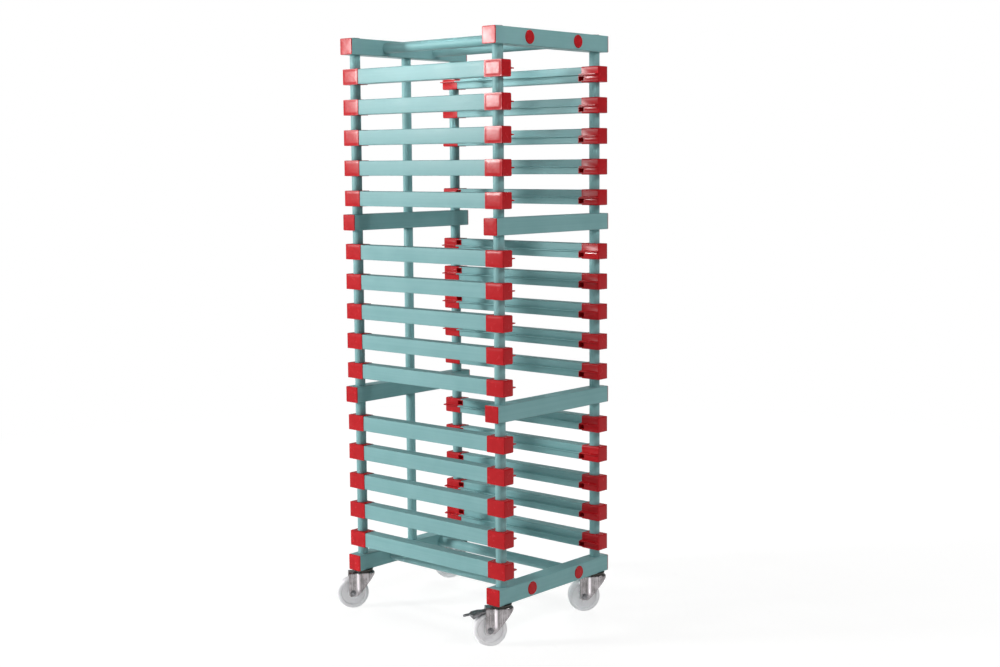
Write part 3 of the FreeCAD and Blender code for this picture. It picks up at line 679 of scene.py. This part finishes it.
# lower edge of the skirt along the fork: quarter round at the tail, straight foot, slant up to the nose
def skirtFoot(along, size):
    foot, rounding = size["foot"], size["footRound"]
    slope = (size["top"] - size["noseSkirt"] - foot) / (size["footFront"] - size["nose"])
    slant = foot + (size["footFront"] - along) * slope
    behind = np.clip(along - size["tail"] + rounding, 0, rounding)
    corner = foot + rounding - np.sqrt(rounding ** 2 - behind ** 2)
    blend = rounding / 2  # soft corner where the slant meets the foot
    softer = np.logaddexp(slant / blend, foot / blend) * blend
    return np.maximum(corner, softer)


# pressed ridge down each leg: a squared cosine across, fading out above the foot
def ridgeShare(along, height, size):
    across = np.clip(np.abs(along - size["ridge"]) / size["ridgeHalf"], 0, 1)
    fade = ease(height, size["ridgeFoot"], size["ridgeFoot"] + size["ridgeFade"])
    return np.cos(across * np.pi / 2) ** 2 * fade


# across: out from the middle line of the plate, round the bend and down the skirt
# around: from the tail of one leg forward, round the nose and back along the other leg
def forkGrid(size):
    half, bend, top = size["half"], size["bend"], size["top"]
    noseCentre = size["nose"] + half
    tailTurn = np.linspace(np.pi / 2, 0, 12)[:-1]
    leg = np.concatenate([size["tail"] - size["footRound"] * (1 - np.sin(tailTurn)),
                          np.linspace(size["tail"] - size["footRound"], noseCentre, 56)])
    noseTurn = np.linspace(np.pi / 2, 3 * np.pi / 2, 26)[1:-1]
    spine = np.concatenate([leg, 0 * noseTurn + noseCentre, leg[::-1]])
    outX = np.concatenate([0 * leg, np.cos(noseTurn), 0 * leg])
    outY = np.concatenate([0 * leg + 1, np.sin(noseTurn), 0 * leg - 1])
    flat, skirtTop = half - bend, top - bend
    plate = np.linspace(0, flat, 6)[:-1]
    bendTurn = np.linspace(0, np.pi / 2, 8)
    share = np.linspace(0, 1, 30)[1:]
    reach = np.concatenate([plate, flat + bend * np.sin(bendTurn), 0 * share + half])
    plateHeight = np.concatenate([0 * plate + top, skirtTop + bend * np.cos(bendTurn)])
    foot = skirtFoot(spine + outX * half, size)
    height = np.concatenate([np.repeat(plateHeight[:, None], len(spine), axis=1),
                             skirtTop + share[:, None] * (foot - skirtTop)])
    lean = np.concatenate([0 * plate, np.sin(bendTurn), 0 * share + 1])
    crest = size["ridgeHeight"] * ridgeShare(spine, height, size) * np.abs(outY)
    outwards = reach[:, None] + lean[:, None] * crest
    return np.stack([spine + outX * outwards, outY * outwards, height], axis=-1)


for corner in cornerNames:
    axes, origin = casterPlace(corner)
    grids = [(placed(forkGrid(fork), axes, origin), False, False)]
    piece = makePiece(f"casterFork.{corner}", grids, stainless, f"swivel_{corner}",
                      f"caster_fork_{corner}", sharpAngle=50)
    # painted highlight on the outer face of each ridge, kept in an attribute that the metal reads
    along, aside, height = ownPlaces(piece, axes, origin)
    outside = ease(np.abs(aside), fork["half"] - fork["highlightBand"], fork["half"])
    addAttribute(piece, "paintedRibHighlight", ridgeShare(along + fork["highlightShift"], height, fork) * outside)
    sheetMetal(piece, fork["sheet"], fork["edge"])
print("forks done")

# wheel: half section of hub, web and rim, turned about the axle
wheel = {"tread": 50, "half": 16, "round": 6, "rim": 39, "rimSlope": 3, "web": 13, "hub": 17, "hubSlope": 3,
         "bore": 7, "boreEdge": 0.5, "edge": 1.2, "webEdge": 1.8, "steps": 96}


def wheelGrid(size):
    half, web, hub, rim = size["half"], size["web"], size["hub"], size["rim"]
    side = [(size["bore"], half), (hub, half), (hub + size["hubSlope"], web), (rim - size["rimSlope"], web),
            (rim, half), (size["tread"], half)]
    radii = [size[name] for name in ("boreEdge", "edge", "webEdge", "webEdge", "edge", "round")]
    outline = side + [(radius, -width) for radius, width in reversed(side)]
    return turned(filleted(outline, radii + radii[::-1], steps=7), anglesRound(size["steps"]))


for corner in cornerNames:
    axes, centre = axlePlace(corner)
    grids = [(placed(wheelGrid(wheel), axes, centre), True, True)]
    piece = makePiece(f"casterWheel.{corner}", grids, whiteNylon, f"wheel_{corner}",
                      f"caster_wheel_{corner}")
    addAttribute(piece, "axleDistance", np.hypot(*ownPlaces(piece, axes, centre)[:2]))
print("wheels done")

# axle: bolt head, shank with a threaded end that shows past the nut, and the nut, all with chamfered hexagons
axle = {"fork": 22.2, "flats": 6.5, "head": 5.5, "nut": 6.5, "end": 3, "radius": 4, "thread": 0.35,
        "pitch": 1.25, "shankIn": 1, "threadIn": 0.9, "tipDrop": 0.6, "tipInset": 0.7, "play": 0.05,
        "countersink": 0.4, "washer": 9.6, "washerThick": 1.2, "washerEdge": 0.3}


# rises from 0 to 1 and falls back once a pitch: half of 1 - cos(2 pi run / pitch)
def wave(run, pitch):
    return 0.5 - 0.5 * np.cos(2 * np.pi * run / pitch)


# thread: a wave in the radius, in which a full turn round moves the crest on by one pitch
def threadRows(size, start, stop, rowsInPitch=8):
    height = np.arange(start, stop, size["pitch"] / rowsInPitch)
    cut = wave(height[:, None] - turnAngle / (2 * np.pi) * size["pitch"], size["pitch"])
    return [(size["radius"] - size["thread"] * row, level) for row, level in zip(cut, height)]


hexFlat = 0.96  # flat end of a nut or bolt head as a share of its half width


# chamfered hexagon: a cone of 30 degrees meets each point of the outline at its own height
def hexRows(halfWidth, low, high):
    flatRadius = halfWidth * hexFlat
    outline = hexRadius(halfWidth)
    drop = (outline - flatRadius) * math.tan(math.pi / 6)
    return [(flatRadius, low), (outline, low + drop), (outline, high - drop), (flatRadius, high)]


def axleGrids(size):
    out, radius = size["fork"], size["radius"]
    washerTop = out + size["washerThick"]
    nutTop = out + size["nut"]
    tip = nutTop + size["end"]
    bore = radius + size["play"]
    washer = filleted([(radius, out), (size["washer"], out), (size["washer"], washerTop),
                       (radius, washerTop)], size["washerEdge"], steps=4)
    headTop = -out - size["head"]
    bolt = [(0, headTop)] + hexRows(size["flats"], headTop, -out)
    bolt += [(radius, -out), (radius, nutTop - size["shankIn"])]
    bolt += threadRows(size, nutTop - size["threadIn"], tip - size["tipDrop"])
    bolt += [(radius - size["tipInset"], tip), (0, tip)]
    nut = [(bore, washerTop)] + hexRows(size["flats"], washerTop, nutTop)
    nut += [(radius + size["countersink"], nutTop), (bore, nutTop - size["countersink"])]
    return (turned(bolt), False), (turned(nut), True), (turned(washer), True)


for corner in cornerNames:
    grids = [(placed(grid, *axlePlace(corner)), closed, True) for grid, closed in axleGrids(axle)]
    makePiece(f"casterAxle.{corner}", grids, darkZinc, f"swivel_{corner}",
              f"caster_axle_{corner}", sharpAngle=25)

# swivel heads under the posts: race with its stem, ball ring with a groove, and the king nut
swivel = {"race": 31, "raceThick": 5, "stem": 5.9, "pin": 7, "ringOut": 28, "ringIn": 15,
          "ringThick": 4, "groove": 1.2, "grooveWidth": 1.6, "nutFlats": 12, "bevel": 1.5, "play": 0.05,
          "raceFillets": (0, 1, 0.1, 0.8, 0.8, 0.4, 0.1, 1, 0),
          "ringFillets": (0.3, 0.4, 0.2, 0.3, 0.2, 0.4, 0.3)}


def raceGrid(size, low, high, raceLow):
    pin, race, stem, bevel = size["pin"], size["race"], size["stem"], size["bevel"]
    raceTop = raceLow + size["raceThick"]
    outline = [(0, low), (pin, low), (pin, raceLow), (race - bevel, raceLow), (race, raceLow + bevel),
               (race, raceTop), (stem, raceTop), (stem, high), (0, high)]
    return turned(filleted(outline, size["raceFillets"], closed=False, steps=4))


def ringGrid(size, low, high):
    outside, bore = size["ringOut"], size["ringIn"]
    middle = (low + high) / 2
    lip = size["grooveWidth"] / 2
    outline = [(bore, low), (outside, low), (outside, middle - lip), (outside - size["groove"], middle),
               (outside, middle + lip), (outside, high), (bore, high)]
    return turned(filleted(outline, size["ringFillets"], steps=4))


def kingNutGrid(size, low, high):
    bore = size["pin"] + size["play"]
    return turned([(bore, low)] + hexRows(size["nutFlats"], low, high) + [(bore, high)])


# a box's place on the floor, for finding the ring under a stem
def spot(low, high):
    return tuple(np.round((low + high)[:2]))


rings = {spot(low, high): low[2] for low, high in solidBoxes("caster_swivel_bearings")}
stemGrids = []
for low, high in solidBoxes("caster_stems"):
    stem = raceGrid(swivel, low[2], high[2], rings[spot(low, high)] + swivel["ringThick"])
    stemGrids.append((standing(stem, low, high), False, True))
ringGrids, nutGrids = [[(standing(makeGrid(swivel, low[2], high[2]), low, high), True, True)
                        for low, high in solidBoxes(nodeName)]
                       for nodeName, makeGrid in (("caster_swivel_bearings", ringGrid),
                                                  ("caster_king_nuts", kingNutGrid))]
# race and ball ring in the dark steel: painted shade for the gap under the beam
makePiece("casterStems", stemGrids, bearingSteel, "rack", "caster_stems")
makePiece("swivelBearings", ringGrids, bearingSteel, "rack", "caster_swivel_bearings")
makePiece("kingNuts", nutGrids, stainless, "rack", "caster_king_nuts", sharpAngle=25)
print("axles and swivel heads done")

# brake pedal: a pressed channel from its pin out over the wheel, with a wide ribbed foot and a narrow tip
# half width and flange depth are given at the arm, the foot and the tip
# spread, narrow and ribs are stretches along the arm
pedal = {"pin": 33, "pinHeight": 107.4, "pinRadius": 2.5, "pinHalf": 22.2, "pinDome": 0.8, "boss": 5.5,
         "bossEdge": 0.6, "top": 109.9, "start": 28.5, "tip": 114, "drop": 16, "half": (15, 22, 8),
         "flange": (5, 9, 4), "tipRound": 0.75, "spread": (56, 71), "narrow": (88, 96), "bend": 2.5,
         "sheet": 2.4, "ribs": (73, 88), "ribFade": 1, "ribPitch": 3.5, "ribHeight": 0.7, "edge": 0.4}
shoe = {"tread": 56.5, "axle": 35, "axleHeight": 50, "half": 13, "high": 99.5, "low": 83.4, "thick": 4.6,
        "tooth": 0.7, "toothPitch": 3, "rimShare": 0.975, "rimDrop": 0.5}


# section: up one flange, over the bend, across the top and down the other flange
# path: along the sloping top line, wider at the foot and narrow at the tip
def pedalGrid(size):
    bend, tip, tipHalf = size["bend"], size["tip"], size["half"][2]
    along = np.linspace(size["start"], tip, 120)
    slope = size["drop"] / (tip - size["pin"])
    top = size["top"] - (along - size["pin"]) * slope
    wide, thin = ease(along, *size["spread"]), ease(along, *size["narrow"])
    half, depth = [arm + (foot - arm) * wide - (foot - last) * thin
                   for arm, foot, last in (size["half"], size["flange"])]
    tipShare = np.clip((along - tip + tipHalf) / tipHalf, 0, 1)
    half *= np.sqrt(np.clip(1 - size["tipRound"] * tipShare ** 2, 0, 1))
    wall = np.linspace(1, 0, 5)[:-1]
    turn = np.linspace(0, np.pi / 2, 5)
    side = np.concatenate([0 * wall, bend * (1 - np.cos(turn))])
    bendDrop = np.broadcast_to(bend * (1 - np.sin(turn)), (len(along), len(turn)))
    lower = np.concatenate([bend + wall * (depth[:, None] - bend), bendDrop], axis=1)
    edgeAcross = half[:, None] - side
    flat = np.linspace(1, -1, 15)[1:-1] * (half[:, None] - bend)
    across = np.concatenate([edgeAcross, flat, -edgeAcross[:, ::-1]], axis=1)
    sunk = np.concatenate([lower, 0 * flat, lower[:, ::-1]], axis=1)
    first, last = size["ribs"]
    ribZone = ease(along, first - size["ribFade"], first) * (1 - ease(along, last, last + size["ribFade"]))
    height = top[:, None] - sunk
    ribbed = slice(len(side) + 1, -len(side) - 1)
    height[:, ribbed] += (size["ribHeight"] * ribZone * wave(along, size["ribPitch"]))[:, None]
    return np.stack([np.broadcast_to(along[:, None], across.shape), across, height], axis=-1)


# shoe: a plate bent to the tread's circle, toothed on the side that grips
def shoeGrid(size):
    tread = size["tread"]
    level = np.linspace(size["high"], size["low"], 48) - size["axleHeight"]
    arcLength = tread * np.arcsin(np.clip(level / tread, -1, 1))
    inner = np.sqrt((tread + size["tooth"] * wave(arcLength, size["toothPitch"])) ** 2 - level ** 2)
    outer = np.sqrt((tread + size["thick"]) ** 2 - level ** 2)
    loop = np.stack([np.concatenate([inner, outer[::-1]]), np.concatenate([level, level[::-1]])], axis=-1)
    centre = loop.mean(axis=0)
    scale = np.array([0, size["rimShare"], 1])
    drawn = centre + (loop[None] - centre) * np.concatenate([scale, scale[::-1]])[:, None, None]
    width = size["half"] - np.array([0, size["rimDrop"], 0])
    width = np.concatenate([width, -width[::-1]])[:, None, None]
    across = np.broadcast_to(width, drawn.shape[:2] + (1,))
    grid = np.concatenate([drawn[..., :1], across, drawn[..., 1:]], axis=-1)
    return grid + np.array([size["axle"], 0, size["axleHeight"]])


# pin with domed ends and a boss between the flanges
def pinGrid(size):
    bossEnd = size["half"][0]
    rows = [(0, -size["pinHalf"] - size["pinDome"]), (size["pinRadius"], -size["pinHalf"]),
            (size["pinRadius"], -bossEnd), (size["boss"] - size["bossEdge"], -bossEnd),
            (size["boss"], size["bossEdge"] - bossEnd)]
    return turned(rows + [(radius, -height) for radius, height in reversed(rows)])


for corner in brakedCorners:
    axes, origin = casterPlace(corner)
    arm = makePiece(f"brakeArm.{corner}", [(placed(pedalGrid(pedal), axes, origin), False, False)], darkZinc,
                    f"brake_{corner}", f"brake_pedal_{corner}", sharpAngle=45)
    sheetMetal(arm, pedal["sheet"], pedal["edge"])
    pinOrigin = np.array(origin) + np.array(axes[0]) * pedal["pin"] + np.array([0, 0, pedal["pinHeight"]])
    pinPart = placed(pinGrid(pedal), (axes[0], axes[2], axes[1]), pinOrigin)
    shoePart = placed(shoeGrid(shoe), axes, origin)
    makePiece(f"brakeShoe.{corner}", [(pinPart, False, True), (shoePart, False, True)], darkZinc,
              f"brake_{corner}", f"brake_pedal_{corner}", sharpAngle=35)
print("brake pedals done")


# what a ray is: seen straight by the camera, or mirrored or passed through on its way
def rayKinds(tree):
    path = addNode(tree, "LightPath").outputs
    mirrored = addNode(tree, "Math", {0: path["Is Glossy Ray"], 1: path["Is Transmission Ray"]},
                       operation="MAXIMUM")
    return path["Is Camera Ray"], mirrored.outputs[0]


# pale floor: lit near the object so that its shadow shows, white to the eye, wholly white further off
floorLook = {"colour": "#E6E6E4", "half": 30, "white": (0.72, 1.0), "strength": (1.18, 1.0),
             "fade": (1.2, 4.0)}
floorMesh = bpy.data.meshes.new("paleFloor")
reach = floorLook["half"]
floorMesh.from_pydata([(-reach, -reach, 0), (reach, -reach, 0), (reach, reach, 0), (-reach, reach, 0)], [],
                      [(0, 1, 2, 3)])
floor = bpy.data.objects.new("paleFloor", floorMesh)
scene.collection.objects.link(floor)
floorMaterial = bpy.data.materials.new("paleFloor")
floorMaterial.use_nodes = True
tree = floorMaterial.node_tree
tree.nodes.clear()
direct, mirrored = rayKinds(tree)
seen = addNode(tree, "Math", {0: direct, 1: mirrored}, operation="MAXIMUM")
where = addNode(tree, "TexCoord").outputs["Object"]
distance = addNode(tree, "VectorMath", {0: where}, operation="LENGTH").outputs["Value"]
fade = {"Value": distance, "From Min": floorLook["fade"][0], "From Max": floorLook["fade"][1]}
white, glow = [addNode(tree, "MapRange", {**fade, "To Min": near, "To Max": far})
               for near, far in (floorLook["white"], floorLook["strength"])]
share = addNode(tree, "Math", {0: seen.outputs[0], 1: white.outputs[0]}, operation="MULTIPLY")
matt = addNode(tree, "BsdfDiffuse", {"Color": linear(floorLook["colour"])})
bright = addNode(tree, "Emission", {"Color": (1, 1, 1, 1), "Strength": glow.outputs[0]})
blend = addNode(tree, "MixShader", {0: share.outputs[0], 1: matt.outputs[0], 2: bright.outputs[0]})
addNode(tree, "OutputMaterial", {"Surface": blend.outputs[0]})
floorMesh.materials.append(floorMaterial)

# world: white where the camera looks, soft grey as light, and for what is mirrored
# white on the lamp's side, dimmer on the other sides and overhead
worldLook = {"fill": 0.39, "overhead": 0.35, "rise": (0.1, 0.8), "dim": 0.35, "brightTo": (-0.95, 0.31, 0),
             "brightEdge": (-0.1, 0.7)}
world = bpy.data.worlds.new("studio")
world.use_nodes = True
scene.world = world
tree = world.node_tree
tree.nodes.clear()
direct, mirrored = rayKinds(tree)
heading = addNode(tree, "TexCoord").outputs["Generated"]
height = addNode(tree, "SeparateXYZ", {0: heading}).outputs["Z"]
dome = addNode(tree, "MapRange", {"Value": height, "From Min": worldLook["rise"][0],
                                  "From Max": worldLook["rise"][1], "To Min": 1.0,
                                  "To Max": worldLook["overhead"]})
facing = addNode(tree, "VectorMath", {0: heading, 1: worldLook["brightTo"]}, operation="DOT_PRODUCT")
side = addNode(tree, "MapRange", {"Value": facing.outputs["Value"], "From Min": worldLook["brightEdge"][0],
                                  "From Max": worldLook["brightEdge"][1], "To Min": worldLook["dim"]})
level = addNode(tree, "MapRange", {"Value": mirrored, "To Min": worldLook["fill"], "To Max": side.outputs[0]})
glow = addNode(tree, "Math", {0: dome.outputs[0], 1: level.outputs[0]}, operation="MULTIPLY")
strength = addNode(tree, "Math", {0: glow.outputs[0], 1: direct}, operation="MAXIMUM")
sky = addNode(tree, "Background", {"Color": (1, 1, 1, 1), "Strength": strength.outputs[0]})
addNode(tree, "OutputWorld", {"Surface": sky.outputs[0]})

# soft boxes: place, aim and size in metres, power in watts, spread in degrees
# the low strip is for the wheels, the high one for the top, and the back fill is not mirrored
softBoxes = {"keyLeft": {"at": (-3.9, 3.2, 2.1), "aim": (0, 0, 1.1), "size": (0.7, 0.7), "power": 190},
             "fillFront": {"at": (0.0, -4.2, 4.9), "aim": (0, 0, 0.95), "size": (1.2, 1.2), "power": 100},
             "fillBack": {"at": (3.6, 2.2, 1.9), "aim": (0, 0, 0.95), "size": (1.5, 1.5), "power": 75,
                          "mirrored": False},
             "lowLeft": {"at": (-2.9, 0.5, 0.14), "aim": (-0.1, -0.02, 0.0), "size": (1.4, 0.1), "power": 0.3,
                         "spread": 12},
             "highLeft": {"at": (-2.4, -0.9, 3.1), "aim": (0.12, 0.05, 1.8), "size": (0.5, 0.5), "power": 0.5,
                          "spread": 12}}


# sets a lamp or camera down: the columns of its matrix are its own x, y and z axes and its place
def setDown(thing, sideways, above, behind, at):
    matrix = np.eye(4)
    matrix[:3] = np.stack([sideways, above, behind, at], axis=1)
    thing.matrix_world = matrix.T.tolist()
    scene.collection.objects.link(thing)


for name, box in softBoxes.items():
    lamp = bpy.data.lights.new(name, "AREA")
    lamp.shape = "RECTANGLE"
    lamp.size, lamp.size_y = box["size"]
    lamp.energy = box["power"]
    lamp.spread = math.radians(box.get("spread", 180))
    light = bpy.data.objects.new(name, lamp)
    light.visible_glossy = box.get("mirrored", True)
    at = np.array(box["at"])
    behind = at - np.array(box["aim"])
    behind /= np.linalg.norm(behind)
    sideways = np.cross((0, 0, 1), behind)
    sideways /= np.linalg.norm(sideways)
    setDown(light, sideways, np.cross(behind, sideways), behind, at)
print("floor and light done")

# camera: place in metres, yaw from +Y towards +X, pitch and roll in radians
# the focal length is in pixels of a frame 1000 pixels wide
camera = {"at": (-3.4014, -3.1082, 1.4166), "yaw": 0.8467, "pitch": -0.1013, "roll": -0.0069, "focal": 1473.3,
          "frameWidth": 1000, "sensor": 36, "shiftY": -0.02}
yaw, pitch, roll = camera["yaw"], camera["pitch"], camera["roll"]
ahead = np.array([math.sin(yaw) * math.cos(pitch), math.cos(yaw) * math.cos(pitch), math.sin(pitch)])
sideways = np.array([math.cos(yaw), -math.sin(yaw), 0])
above = np.cross(sideways, ahead)
lens = bpy.data.cameras.new("photoView")
lens.sensor_fit = "HORIZONTAL"
lens.sensor_width = camera["sensor"]
lens.lens = camera["focal"] * camera["sensor"] / camera["frameWidth"]
lens.shift_y = camera["shiftY"]
eye = bpy.data.objects.new("photoView", lens)
setDown(eye, math.cos(roll) * sideways + math.sin(roll) * above,
        math.cos(roll) * above - math.sin(roll) * sideways, -ahead, camera["at"])
scene.camera = eye
scene.view_settings.view_transform = "Standard"
